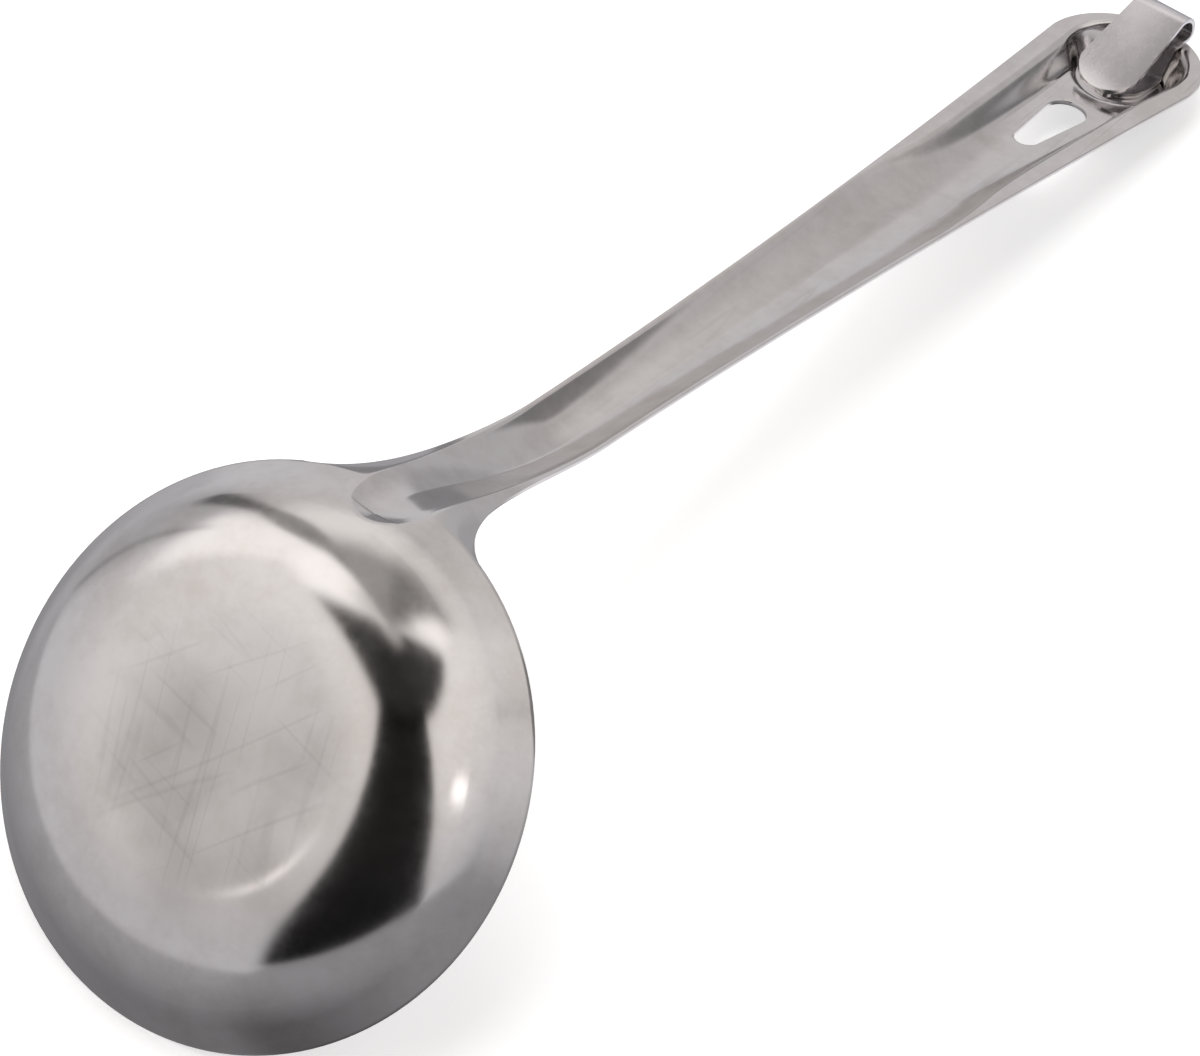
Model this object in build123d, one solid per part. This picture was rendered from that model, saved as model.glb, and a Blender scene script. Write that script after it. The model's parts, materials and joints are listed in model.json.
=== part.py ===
from build123d import *
import math
import os

# A soup ladle pressed from one stainless sheet, with a pan hook spot-welded in the end of its handle.
# All lengths are in millimetres. The ladle is drawn in its rim frame first: the origin is the centre of
# the bowl's rim, X runs towards the handle, Z runs along the bowl's axis to its flat bottom, and the
# handle leaves towards -Z. At the end it is turned into the pose in which it lies face down on a table.

# Sheet and bowl
sheet = 0.8
rim_radius = 45.0
bowl_depth = 17.0
bowl_rounding = 25.7
wall_angle = 57.0

# Neck between the rim and the straight handle
flare_half_width = 17.0
neck_reach = 17.4
neck_drop = 40.8
neck_pull = 10.5
neck_start_angle = 57.0
groove_rise = 8.0
groove_half_width = 6.6
groove_root_depth = 1.6
groove_depth = 3.4

# Straight handle, measured from the end of the neck
handle_angle = 55.0
handle_length = 153.6
handle_start_half_width = 7.3
handle_end_radius = 14.0
channel_depth = 4.1
flange_width = 3.6

# Hanging hole
hole_start = 126.9
hole_pitch = 11.4
hole_narrow_radius = 2.3
hole_wide_radius = 3.6

# Round seat for the hook
seat_offset = 1.5
seat_floor_radius = 8.0
seat_top_radius = 10.6
seat_depth = 5.1

# Pan hook
strip = 0.8
strip_half_width = 5.0
hook_tip_half_width = 6.0
hook_foot_length = 10.4
hook_bend_radius = 2.8
hook_small_bend = 0.9
hook_rise = 7.1
hook_reach = 21.6
hook_tip_height = 2.4
hook_wall_gap = 0.5
hook_lip_gap = 0.1
hook_overhang = 0.5

# Spot welds
weld_radius = 1.6
weld_spacing = 4.6
weld_bite = 0.3

# How the pieces are drawn
overrun = 6.0
path_points = 17
handle_slices = 12

# Where the slices lie along a stretch, how deep the groove still is there, and how the widths change
neck_slice_shares = (0.12, 0.26, 0.42, 0.6, 0.8)
root_rise_shares = (0, 0.3, 0.6, 0.85, 1)
root_depth_shares = (1, 0.82, 0.55, 0.26, 0.08)
root_narrow_share = 0.8
mouth_shares = (0.9, 0.95, 1)
bulge_end_share = 0.75
probe_share = 0.005
neck_narrowing_share = 4.6
handle_widening_share = 1.7


def deg_sin(angle):
    return math.sin(math.radians(angle))


def deg_cos(angle):
    return math.cos(math.radians(angle))


def smooth_step(value):
    """A share that runs smoothly from 0 to 1 as value does."""
    value = min(max(value, 0), 1)
    return value * value * (3 - 2 * value)


# The places that follow from the sizes
neck_start_x = math.sqrt(rim_radius**2 - flare_half_width**2)
neck_end_x = rim_radius + neck_reach
seat_centre = handle_length + seat_offset
handle_end = handle_length + handle_end_radius
wall_lean = 1 / math.tan(math.radians(wall_angle))


def bowl_profile(inset):
    """Points of the bowl's profile, moved inwards by inset, from the rim to the axis."""
    corner_shift = inset * math.tan(math.radians(wall_angle / 2))
    corner_x = rim_radius - bowl_depth * wall_lean - corner_shift
    rim_x = rim_radius - inset / deg_sin(wall_angle)
    return [(rim_x, 0), (corner_x, bowl_depth - inset), (0, bowl_depth - inset)]


def bowl_solid(inset):
    """The bowl as a full body of revolution, from its rim plane to its bottom."""
    points = bowl_profile(inset)
    with BuildSketch(Plane.XZ) as sketch:
        with BuildLine():
            FilletPolyline(*points, radius=bowl_rounding - inset)
            Polyline(points[-1], (0, 0), points[0])
        make_face()
    return revolve(sketch.sketch, Axis.Z)


def wall_x(height, y):
    """X of the middle of the bowl's wall at a height over the rim plane."""
    radius = rim_radius - height * wall_lean - sheet / 2 / deg_sin(wall_angle)
    return math.sqrt(radius**2 - y**2)


def neck_point(share):
    """The line of the sheet's edge, from the rim to the straight handle."""
    start = Vector(neck_start_x, 0, 0)
    leave = start + Vector(deg_cos(neck_start_angle), 0, -deg_sin(neck_start_angle)) * neck_pull
    end = Vector(neck_end_x, 0, -neck_drop)
    arrive = end - Vector(deg_cos(handle_angle), 0, -deg_sin(handle_angle)) * neck_pull
    rest = 1 - share
    return start * rest**3 + leave * (3 * rest**2 * share) + arrive * (3 * rest * share**2) + end * share**3


def neck_half_width(share):
    return handle_start_half_width + (flare_half_width - handle_start_half_width) * (1 - share) ** neck_narrowing_share


def handle_point(distance):
    direction = Vector(deg_cos(handle_angle), 0, -deg_sin(handle_angle))
    return Vector(neck_end_x, 0, -neck_drop) + direction * distance


def handle_half_width(distance):
    share = distance / handle_length
    return handle_start_half_width + (handle_end_radius - handle_start_half_width) * share**handle_widening_share


def curve_section(place, angle, half_width, height_at):
    """A closed slice through the sheet. height_at gives the sheet's middle over the line of its edges."""
    back = Vector(deg_sin(angle), 0, deg_cos(angle))
    upper, lower = [], []
    probe = half_width * probe_share
    for index in range(path_points):
        y = half_width * (2 * index / (path_points - 1) - 1)
        slope = (height_at(y + probe) - height_at(y - probe)) / (2 * probe)
        reach = sheet / 2 / math.sqrt(1 + slope**2)
        middle = place + back * height_at(y) + Vector(0, y, 0)
        normal = back * reach - Vector(0, slope * reach, 0)
        upper.append(middle + normal)
        lower.append(middle - normal)
    edges = [Spline(*upper), Line(upper[-1], lower[-1]), Spline(*reversed(lower)), Line(lower[0], upper[0])]
    return Face(Wire(edges))


def hollow_section(place, angle, half_width, height_at, lift):
    """A closed slice through the space over the sheet, up to a line well above it."""
    back = Vector(deg_sin(angle), 0, deg_cos(angle))
    floor = []
    for index in range(path_points):
        y = half_width * (2 * index / (path_points - 1) - 1)
        floor.append(place + back * (height_at(y) + sheet / 2) + Vector(0, y, 0))
    left = place + back * lift + Vector(0, -half_width, 0)
    right = place + back * lift + Vector(0, half_width, 0)
    edges = [Spline(*floor), Line(floor[-1], right), Line(right, left), Line(left, floor[0])]
    return Face(Wire(edges))


def dip(y, flat_half, foot_half):
    """The groove's depth share across the sheet: 1 on its floor and 0 outside its walls."""
    return 1 - smooth_step((abs(y) - flat_half) / (foot_half - flat_half))


def neck_height(share):
    """Height of the sheet's middle over its edge line in a slice of the neck."""
    half_width = neck_half_width(share)
    bulge = (wall_x(0, 0) - neck_start_x) * (1 - smooth_step(share / bulge_end_share))
    depth = groove_root_depth + (groove_depth - groove_root_depth) * share
    lip = groove_half_width + (half_width + flange_width / 2 - groove_half_width) * smooth_step(share)
    floor_half = groove_half_width / 4 + handle_start_half_width / 8 * share

    def height(y):
        return bulge * (1 - (y / half_width) ** 2) - depth * dip(y, floor_half, lip)

    return height


def rim_height(y):
    """Height of the sheet's middle in the rim plane, over the neck's starting point."""
    return wall_x(0, y) - neck_start_x - groove_root_depth * dip(y, groove_half_width / 4, groove_half_width)


def handle_height(distance):
    """Height of the sheet's middle over its edge line in a slice of the straight handle."""
    half_width = handle_half_width(distance)
    share = distance / handle_length
    rim = half_width + flange_width / 2 - flange_width * 3 / 2 * smooth_step(share * 2 - 1)
    floor_half = groove_half_width / 4 + handle_start_half_width / 8 + (seat_floor_radius - flange_width) * share**2
    depth = groove_depth + (channel_depth - groove_depth) * share
    end = max(0, (distance - seat_centre) / handle_end_radius)
    depth = depth * (1 - smooth_step(end * 2))

    def height(y):
        return -depth * dip(y, floor_half, rim)

    return height


def neck_and_handle():
    """The neck and the handle's channel as one lofted sheet, still square at its end."""
    slices = [curve_section(Vector(neck_start_x, 0, 0), 90, flare_half_width, rim_height)]
    for share in neck_slice_shares:
        angle = 90 + (handle_angle - 90) * smooth_step(share * 1.25)
        slices.append(curve_section(neck_point(share), angle, neck_half_width(share), neck_height(share)))
    for index in range(handle_slices + 1):
        distance = handle_length * index / handle_slices
        height = handle_height(distance)
        slices.append(curve_section(handle_point(distance), handle_angle, handle_half_width(distance), height))
    end = handle_end + sheet
    slices.append(curve_section(handle_point(end), handle_angle, handle_end_radius, handle_height(end)))
    return loft(slices)


def groove_root(make, lift=None):
    """The groove's run up the bowl's wall, as a sheet or as the space over it."""
    slices = []
    for rise_share, depth_share in zip(root_rise_shares, root_depth_shares):
        rise = groove_rise * rise_share
        half = groove_half_width * root_narrow_share * math.sqrt(1 - root_narrow_share * rise_share**2)
        base = wall_x(rise, 0)

        def height(y, rise=rise, base=base, half=half, depth_share=depth_share):
            depth = groove_root_depth * depth_share * dip(y, half / 4, half / root_narrow_share)
            return wall_x(rise, y) - base - depth

        extra = () if lift is None else (lift,)
        slices.append(make(Vector(base, 0, rise), 90, half, height, *extra))
    return loft(slices)


handle_plane = Plane(
    origin=handle_point(0),
    x_dir=(deg_cos(handle_angle), 0, -deg_sin(handle_angle)),
    z_dir=(deg_sin(handle_angle), 0, deg_cos(handle_angle)),
)


def seat_cup(inset, top):
    """A cone standing in the handle's end: the round seat's outside, or its inside when inset is zero."""
    floor = sheet / 2 - seat_depth - inset
    slope = (seat_top_radius - seat_floor_radius) / seat_depth
    shift = inset / math.cos(math.atan(slope))
    low_radius = seat_floor_radius + shift - inset * slope
    high_radius = seat_floor_radius + shift + (top - sheet / 2 + seat_depth) * slope
    cone = Cone(low_radius, high_radius, top - floor, align=(Align.CENTER, Align.CENTER, Align.MIN))
    return handle_plane * Pos(seat_centre, 0, floor) * cone


def hanging_hole():
    """The keyhole's outline, pushed through the floor of the channel."""
    reach = hole_pitch
    lean = math.asin((hole_wide_radius - hole_narrow_radius) / reach)
    narrow = Vector(hole_start, 0)
    wide = Vector(hole_start + reach, 0)
    side = [Vector(-math.sin(lean), sign * math.cos(lean)) for sign in (1, -1)]
    with BuildSketch(handle_plane) as sketch:
        with BuildLine():
            Line(narrow + side[0] * hole_narrow_radius, wide + side[0] * hole_wide_radius)
            Line(narrow + side[1] * hole_narrow_radius, wide + side[1] * hole_wide_radius)
            ThreePointArc(
                wide + side[0] * hole_wide_radius,
                wide + Vector(hole_wide_radius, 0),
                wide + side[1] * hole_wide_radius,
            )
            ThreePointArc(
                narrow + side[0] * hole_narrow_radius,
                narrow - Vector(hole_narrow_radius, 0),
                narrow + side[1] * hole_narrow_radius,
            )
        make_face()
    return extrude(sketch.sketch, amount=overrun, both=True)


def end_trim():
    """What lies past the handle's round end, taken off the square sheet."""
    with BuildSketch(handle_plane) as sketch:
        with Locations((handle_length + handle_end_radius, 0)):
            Rectangle(2 * handle_end_radius, 4 * handle_end_radius)
        with Locations((handle_length, 0)):
            Circle(handle_end_radius, mode=Mode.SUBTRACT)
    return extrude(sketch.sketch, amount=overrun, both=True)


def weld_places():
    """The two weld centres along the handle, under the hook's foot."""
    middle = seat_centre - seat_floor_radius / 4
    return [middle - weld_spacing / 2, middle + weld_spacing / 2]


def weld_nugget(distance):
    """A weld that bites into the seat's floor and into the hook's foot."""
    disc = Cylinder(weld_radius, 2 * weld_bite)
    return handle_plane * Pos(distance, 0, sheet / 2 - seat_depth) * disc


def channel_mouth():
    """The space over the channel's floor where the channel opens into the seat."""
    slices = []
    for share in mouth_shares:
        distance = handle_length * share
        foot_half = handle_half_width(distance) - flange_width
        height = handle_height(distance)

        def lifted(y, height=height):
            return height(y) + sheet / 16

        slices.append(hollow_section(handle_point(distance), handle_angle, foot_half, lifted, overrun))
    return loft(slices)


def ladle_body():
    """Bowl, neck, handle channel and hook seat: one pressed sheet."""
    bowl = bowl_solid(0) - bowl_solid(sheet)
    root = groove_root(curve_section)
    bowl = bowl - groove_root(hollow_section, overrun) + root
    handle = neck_and_handle() - hanging_hole() - end_trim() - seat_cup(sheet, sheet / 2)
    seat = seat_cup(sheet, sheet / 2) - seat_cup(0, overrun)
    for distance in weld_places():
        seat = seat - weld_nugget(distance)
    handle = handle + (seat - channel_mouth())
    return bowl + handle


def hook_path():
    """The middle line of the hook's strip, from its foot to its free tip, in the handle's side view."""
    floor = sheet / 2 - seat_depth + strip / 2
    half = strip_half_width
    wall_low = seat_centre + math.sqrt(seat_floor_radius**2 - half**2) - hook_wall_gap
    wall_high = seat_centre + math.sqrt(seat_top_radius**2 - half**2) - hook_wall_gap - strip
    over_lip = sheet / 2 + hook_lip_gap + strip / 2
    upright = handle_end + hook_overhang - strip / 2
    tip_z = sheet / 2 - seat_depth + hook_tip_height + strip / 2
    return [
        (wall_low - hook_foot_length, floor),
        (wall_low - strip / 2, floor),
        (wall_high, over_lip),
        (upright, over_lip + strip / 2),
        (upright, sheet / 2 + hook_rise),
        (upright - hook_reach, tip_z),
    ]


def strip_outline(end_x, end_half, far_x, far_half, low, high):
    """The space that a strip with a round end keeps, between two heights over the handle."""
    centre = end_x + end_half
    with BuildSketch() as sketch:
        with BuildLine():
            Polyline((centre, -end_half), (far_x, -far_half), (far_x, far_half), (centre, end_half))
            ThreePointArc((centre, end_half), (end_x, 0), (centre, -end_half))
        make_face()
    return Pos(0, 0, low) * extrude(sketch.sketch, amount=high - low)


def side_line(points, radii, reach):
    """Corners and bend radii of the line that runs beside a bent line, on its left when reach is positive."""
    ways = [(after - before).normalized() for before, after in zip(points, points[1:])]
    lefts = [Vector(-way.Y, way.X) for way in ways]
    corners = [points[0] + lefts[0] * reach]
    side_radii = []
    for index, radius in enumerate(radii):
        left, next_left = lefts[index], lefts[index + 1]
        corners.append(points[index + 1] + (left + next_left) * (reach / (1 + left.dot(next_left))))
        turn = math.copysign(1, ways[index].cross(ways[index + 1]).Z)
        side_radii.append(radius - turn * reach)
    corners.append(points[-1] + lefts[-1] * reach)
    return corners, side_radii


def bent_strip(points, radii):
    """The strip's side view, given the corners of its middle line."""
    left, left_radii = side_line(points, radii, strip / 2)
    right, right_radii = side_line(points, radii, -strip / 2)
    with BuildSketch(Plane.XZ) as sketch:
        with BuildLine():
            FilletPolyline(*left, radius=left_radii)
            FilletPolyline(*right, radius=right_radii)
            Line(left[0], right[0])
            Line(left[-1], right[-1])
        make_face()
    return sketch.sketch


def pan_hook():
    """One strip: foot on the seat, up past the end of the handle, and back over itself."""
    points = [Vector(*point) for point in hook_path()]
    small = hook_small_bend + strip / 2
    side = bent_strip(points, [small, small, small, hook_bend_radius + strip / 2])
    bent = extrude(side, amount=hook_tip_half_width, both=True)
    divide = points[0].Y + strip / 2 + hook_tip_height / 4
    far = handle_end + 2 * hook_overhang
    foot = strip_outline(points[0].X, strip_half_width, far, strip_half_width, -overrun, divide)
    top = points[4].Y + strip
    leg = strip_outline(points[5].X, hook_tip_half_width, far, strip_half_width, divide, top)
    hook = handle_plane * (bent & (foot + leg))
    for distance in weld_places():
        hook = hook - weld_nugget(distance)
    return hook


def spot_welds():
    """The welds that hold the hook's foot to the seat."""
    return Compound(children=[weld_nugget(distance) for distance in weld_places()])


def lying_tilt():
    """The angle that lays the ladle on the far side of its rim and on the seat's lowest edge."""
    slope = (seat_top_radius - seat_floor_radius) / seat_depth
    low_radius = seat_floor_radius + sheet / math.cos(math.atan(slope)) - sheet * slope
    lowest = handle_plane.from_local_coords(Vector(seat_centre + low_radius, 0, -sheet / 2 - seat_depth))
    return math.degrees(math.atan2(-lowest.Z, lowest.X + rim_radius))


def main():
    os.makedirs("parts", exist_ok=True)
    pieces = {"ladle_body": ladle_body(), "pan_hook": pan_hook(), "spot_welds": spot_welds()}
    tilt = lying_tilt()
    lift = rim_radius * deg_sin(tilt)
    turned = {name: Pos(0, 0, lift) * piece.rotate(Axis.Y, -tilt) for name, piece in pieces.items()}
    middle = Compound(list(turned.values())).bounding_box().center().X
    for name, piece in turned.items():
        export_step(Pos(-middle, 0, 0) * piece, f"parts/{name}.step")
    print("tilt in degrees:", round(tilt, 3), "shift in mm:", round(-middle, 3), "lift in mm:", round(lift, 3))


if __name__ == "__main__":
    main()
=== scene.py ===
import json
import math
from dataclasses import dataclass
from typing import Callable, Sequence

import bmesh
import bpy
from mathutils import Matrix, Vector

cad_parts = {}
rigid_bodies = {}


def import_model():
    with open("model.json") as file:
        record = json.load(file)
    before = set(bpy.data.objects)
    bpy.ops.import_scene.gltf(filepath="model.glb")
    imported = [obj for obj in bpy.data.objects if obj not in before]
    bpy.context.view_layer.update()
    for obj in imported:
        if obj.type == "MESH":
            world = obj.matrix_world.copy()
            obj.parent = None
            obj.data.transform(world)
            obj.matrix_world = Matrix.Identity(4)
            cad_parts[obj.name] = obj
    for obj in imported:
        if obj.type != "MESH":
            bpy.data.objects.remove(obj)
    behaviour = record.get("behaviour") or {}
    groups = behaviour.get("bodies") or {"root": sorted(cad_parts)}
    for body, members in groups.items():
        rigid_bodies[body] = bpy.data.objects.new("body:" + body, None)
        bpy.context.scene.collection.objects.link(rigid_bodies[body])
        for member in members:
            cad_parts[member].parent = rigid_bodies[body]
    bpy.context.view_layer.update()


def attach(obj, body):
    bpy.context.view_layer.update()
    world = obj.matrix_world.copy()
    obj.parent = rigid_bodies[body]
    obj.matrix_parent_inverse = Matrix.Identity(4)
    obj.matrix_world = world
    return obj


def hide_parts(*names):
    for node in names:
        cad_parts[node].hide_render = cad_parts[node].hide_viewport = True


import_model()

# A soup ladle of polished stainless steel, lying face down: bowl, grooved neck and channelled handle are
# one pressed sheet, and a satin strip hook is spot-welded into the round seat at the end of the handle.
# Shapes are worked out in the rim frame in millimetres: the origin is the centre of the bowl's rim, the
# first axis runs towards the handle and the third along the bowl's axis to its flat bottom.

MM = 0.001
TINY = 1e-6
BACK_AND_FRONT = (1, -1)
Object = bpy.types.Object
Material = bpy.types.Material
Socket = bpy.types.NodeSocket
Point = tuple[float, float, float]
Span = tuple[float, float]
Face = tuple[int, ...]
Table = Sequence[Span]


def smooth_step(value: float) -> float:
    """Return a share that runs smoothly from 0 to 1 as value does."""
    value = min(max(value, 0.0), 1.0)
    return value * value * (3 - 2 * value)


def glide(table: Table, place: float) -> float:
    """Return the value at a place on the smooth line through a table; its end values hold outside."""
    if place <= table[0][0]:
        return table[0][1]
    if place >= table[-1][0]:
        return table[-1][1]
    index = next(i for i in range(1, len(table)) if place <= table[i][0])
    (x0, y0), (x1, y1) = table[index - 1], table[index]

    def slope(i: int) -> float:
        """Return the line's slope at one of the table's places."""
        low, high = max(i - 1, 0), min(i + 1, len(table) - 1)
        return (table[high][1] - table[low][1]) / (table[high][0] - table[low][0])

    span = x1 - x0
    t = (place - x0) / span
    a, b = slope(index - 1) * span, slope(index) * span
    return y0 + t * (a + t * (3 * (y1 - y0) - 2 * a - b + t * (a + b - 2 * (y1 - y0))))


class Lie:
    """How the ladle lies on the table: the turn and the move from its rim frame to the part's frame."""

    tilt = math.radians(42.133)
    shift = -101.749
    lift = 30.188

    def turn(self, u: float, y: float, w: float) -> Vector:
        """Return a direction of the rim frame in the part's frame."""
        c, s = math.cos(self.tilt), math.sin(self.tilt)
        return Vector((u * c - w * s, y, u * s + w * c))

    def place(self, u: float, y: float, w: float) -> Vector:
        """Return a point of the rim frame, in millimetres, as metres in the part's frame."""
        return (self.turn(u, y, w) + Vector((self.shift, 0, self.lift))) * MM


LIE = Lie()


class NodeTree:
    """A node tree that is filled through one method."""

    def __init__(self, tree: bpy.types.NodeTree) -> None:
        """Start from an empty tree."""
        self.tree = tree
        tree.nodes.clear()

    def node(self, kind: str, settings: dict | None = None, inputs: dict | None = None) -> bpy.types.Node:
        """Add a node: attributes are set first, then values or sockets by an input's name or number."""
        made = self.tree.nodes.new(kind)
        for name, value in (settings or {}).items():
            setattr(made, name, value)
        for key, value in (inputs or {}).items():
            target = made.inputs[key]
            if isinstance(value, Value):
                value = value.socket
            if isinstance(value, Socket):
                self.tree.links.new(value, target)
            else:
                target.default_value = value
        return made

    def value(
        self, kind: str, settings: dict | None = None, inputs: dict | None = None, out: int | str = 0
    ) -> "Value":
        """Add a node and wrap one of its outputs."""
        return Value(self, self.node(kind, settings, inputs).outputs[out])

    def mixed(self, share: "Value", low: Sequence[float], high: Sequence[float]) -> Socket:
        """Return a colour between two, by a share."""
        settings = {"data_type": "RGBA"}
        return self.node("ShaderNodeMix", settings, {0: share, 6: (*low, 1), 7: (*high, 1)}).outputs[2]

    def scaled(self, colour: Socket, level: "Value") -> Socket:
        """Return a colour times a level."""
        inputs = {0: colour, "Scale": level}
        return self.node("ShaderNodeVectorMath", {"operation": "SCALE"}, inputs).outputs[0]


def maths(operation: str, swapped: bool = False) -> Callable[..., "Value"]:
    """Return a method that adds a Math node on a value and the numbers or values after it."""

    def method(value: "Value", *others: "Value | float") -> "Value":
        """Add the node; swapped puts the value last."""
        return value.sum(operation, *((*others, value) if swapped else (value, *others)))

    return method


class Value:
    """A number socket that takes part in ordinary sums."""

    def __init__(self, tree: NodeTree, socket: Socket) -> None:
        """Wrap a socket of a tree."""
        self.tree, self.socket = tree, socket

    def sum(self, operation: str, *values: "Value | float") -> "Value":
        """Add a Math node on the given values."""
        inputs = dict(enumerate(values))
        return self.tree.value("ShaderNodeMath", {"operation": operation}, inputs)

    __add__ = __radd__ = maths("ADD")
    __mul__ = __rmul__ = maths("MULTIPLY")
    __sub__ = maths("SUBTRACT")
    __rsub__ = maths("SUBTRACT", swapped=True)
    __truediv__ = maths("DIVIDE")
    __pow__ = maths("POWER")
    size = maths("ABSOLUTE")
    at_least = maths("MAXIMUM")

    def arc_sine(self) -> "Value":
        """Return the angle in degrees of which this is the sine."""
        return self.sum("ARCSINE", self) * math.degrees(1)

    def arc_tangent(self, other: "Value") -> "Value":
        """Return the angle in degrees whose sine and cosine run as this and the other value."""
        return self.sum("ARCTAN2", self, other) * math.degrees(1)

    def toned(self, share: "Value", wanted: "Value | float") -> "Value":
        """Return the level, going over to another by a share."""
        return self + share * (wanted - self)

    def dimmed(self, share: "Value", strength: "Value | float") -> "Value":
        """Return the level, which loses a part of its strength by a share."""
        return self * (1 - share * strength)

    def step(self, low: float, high: float) -> "Value":
        """Return a smooth step from 0 at low to 1 at high."""
        settings = {"interpolation_type": "SMOOTHSTEP"}
        inputs = {"Value": self, "From Min": low, "From Max": high}
        return self.tree.value("ShaderNodeMapRange", settings, inputs)

    def fall(self, low: float, high: float) -> "Value":
        """Return a smooth step from 1 at low to 0 at high."""
        return 1 - self.step(low, high)


class Finish(NodeTree):
    """A material made of nodes."""

    def __init__(self, name: str) -> None:
        """Create the material."""
        self.material = bpy.data.materials.new(name)
        self.material.use_nodes = True
        super().__init__(self.material.node_tree)
        self.place = self.node("ShaderNodeTexCoord").outputs["Object"]

    def mapped(self, turn: Point, scale: Point) -> Socket:
        """Return the object's coordinates in millimetres, turned by degrees and stretched."""
        inputs = {"Vector": self.place, "Rotation": [math.radians(a) for a in turn]}
        turned = self.node("ShaderNodeMapping", {"vector_type": "TEXTURE"}, inputs)
        inputs = {0: turned.outputs[0], 1: [s / MM for s in scale]}
        return self.node("ShaderNodeVectorMath", {"operation": "MULTIPLY"}, inputs).outputs[0]

    def noise(self, vector: Socket, detail: float = 2.0, rough: float = 0.5) -> Value:
        """Return a noise pattern between 0 and 1."""
        inputs = {"Vector": vector, "Scale": 1.0, "Detail": detail, "Roughness": rough}
        return self.value("ShaderNodeTexNoise", None, inputs)

    def distance(self, point: Vector) -> Value:
        """Return how far a point of the surface lies from a place, in millimetres."""
        inputs = {0: self.place, 1: tuple(point)}
        return self.value("ShaderNodeVectorMath", {"operation": "DISTANCE"}, inputs, "Value") / MM

    def hairlines(self, vector: Socket, width: float) -> Value:
        """Return fine scratches: 1 on the contour line of a stretched noise, 0 beside it."""
        return (self.noise(vector, 0.0) - 0.5).size().fall(0.0, width)

    def close_metal(
        self, colour: Socket, rough: Value, height: Value, strength: float, depth: float
    ) -> Material:
        """Close a metal whose relief tilts the surface by a strength and is a depth in millimetres."""
        relief = {"Strength": strength, "Distance": depth * MM, "Height": height}
        bump = self.node("ShaderNodeBump", None, relief)
        inputs = {"Base Color": colour, "Metallic": 1.0, "Roughness": rough, "Normal": bump.outputs[0]}
        return self.close(self.node("ShaderNodeBsdfPrincipled", None, inputs))

    def close(self, shader: bpy.types.Node) -> Material:
        """Send a shader to the output and return the material."""
        self.node("ShaderNodeOutputMaterial", None, {"Surface": shader.outputs[0]})
        return self.material


@dataclass(frozen=True)
class Scratches:
    """Scratches that run one way: turn and slope in the rim frame in degrees, and lines per millimetre."""

    turn: float
    slope: float
    density: float

    def facing(self) -> Point:
        """Return the angles in degrees that turn the part's first axis along them."""
        turn, slope = math.radians(self.turn), math.radians(self.slope)
        ahead = math.cos(turn)
        way = LIE.turn(ahead * math.cos(slope), math.sin(turn), -ahead * math.sin(slope))
        return 0.0, -math.degrees(math.asin(way.z)), math.degrees(math.atan2(way.y, way.x))


class PolishedSteel:
    """Polished sheet: nearly a mirror, with rubbed patches, hairline scratches, faint smears and a painted
    shade that darkens the flat bottom on its side away from the handle.

    Scales are in patterns per millimetre, and a share goes over between an edge's two distances.
    """

    light = (0.69, 0.67, 0.66)
    dull = (0.60, 0.57, 0.55)
    roughness = 0.13
    smear_scale = (0.07, 0.05, 0.07)
    cloud_scale = (0.25, 0.25, 0.25)
    rubbed_scale = (0.02, 0.03, 0.03)
    grain_scale = (0.5, 9.0, 9.0)
    tone_scale = (0.045, 0.045, 0.045)
    flat_middle = (0.0, 0.0, 17.0)
    flat_edge = (15.0, 26.0)
    handle_edge = (75.0, 95.0)
    on_flat = (Scratches(15, 0, 0.40), Scratches(74, 0, 0.30), Scratches(-41, 0, 0.22))
    on_handle = (Scratches(5, 55, 0.22),)
    scratch_stretch = 0.012
    scratch_width = 0.045
    scratch_shade = 0.055
    break_scale = (0.05, 0.3, 0.3)
    # painted shade: a darker reflection painted into the flat bottom round this point, away from the
    # handle, fading out between these distances
    painted_shade_middle = (-6.0, -5.0, 17.0)
    painted_shade_edge = (11.0, 31.0)
    bump_strength = 0.08
    bump_depth = 0.06

    def group(self, m: Finish, scratches: Scratches) -> Value:
        """Return the broken hairlines of one direction: 1 on a scratch and 0 beside it."""
        turn, density = scratches.facing(), scratches.density
        lines = m.hairlines(m.mapped(turn, (self.scratch_stretch, density, density)), self.scratch_width)
        return lines * m.noise(m.mapped(turn, self.break_scale), 1.0).step(0.46, 0.58)

    def scratches(self, m: Finish) -> Value:
        """Return the scratches of the flat bottom and of the handle."""
        away = m.distance(LIE.place(*self.flat_middle))
        flat, handle = away.fall(*self.flat_edge), away.step(*self.handle_edge)
        lines = [self.group(m, each) * flat for each in self.on_flat]
        lines += [self.group(m, each) * handle for each in self.on_handle]
        return sum(lines)

    def build(self) -> Material:
        """Return the material."""
        m = Finish("polished_steel")
        smear = m.noise(m.mapped((0, 42, 20), self.smear_scale), 4.0, 0.62)
        cloud = m.noise(m.mapped((10, 0, 50), self.cloud_scale), 5.0, 0.7)
        rubbed = m.noise(m.mapped((0, 0, 0), self.rubbed_scale)).step(0.42, 0.62)
        grain = m.noise(m.mapped((0, 42, 8), self.grain_scale))
        tone = m.noise(m.mapped((0, 42, 0), self.tone_scale)).step(0.35, 0.7)
        scratches = self.scratches(m)
        # painted shade: dims the lighter tone and darkens the colour round a point of the flat bottom, as a
        # darker reflection there
        painted_shade = m.distance(LIE.place(*self.painted_shade_middle)).fall(*self.painted_shade_edge)
        bright = (smear * 0.6 + cloud * 0.4).step(0.3, 0.62) * (1 - painted_shade * 0.35)
        shade = 1 - painted_shade * (0.14 + tone * 0.20) - scratches * self.scratch_shade
        colour = m.scaled(m.mixed(bright, self.dull, self.light), shade)
        rough = self.roughness + (cloud - 0.5) * 0.10 + (grain - 0.5) * 0.03
        rough = rough + scratches * 0.05 + rubbed * 0.03
        height = grain * 0.12 - scratches * 0.1 + cloud * 0.25
        return m.close_metal(colour, rough, height, self.bump_strength, self.bump_depth)


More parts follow.
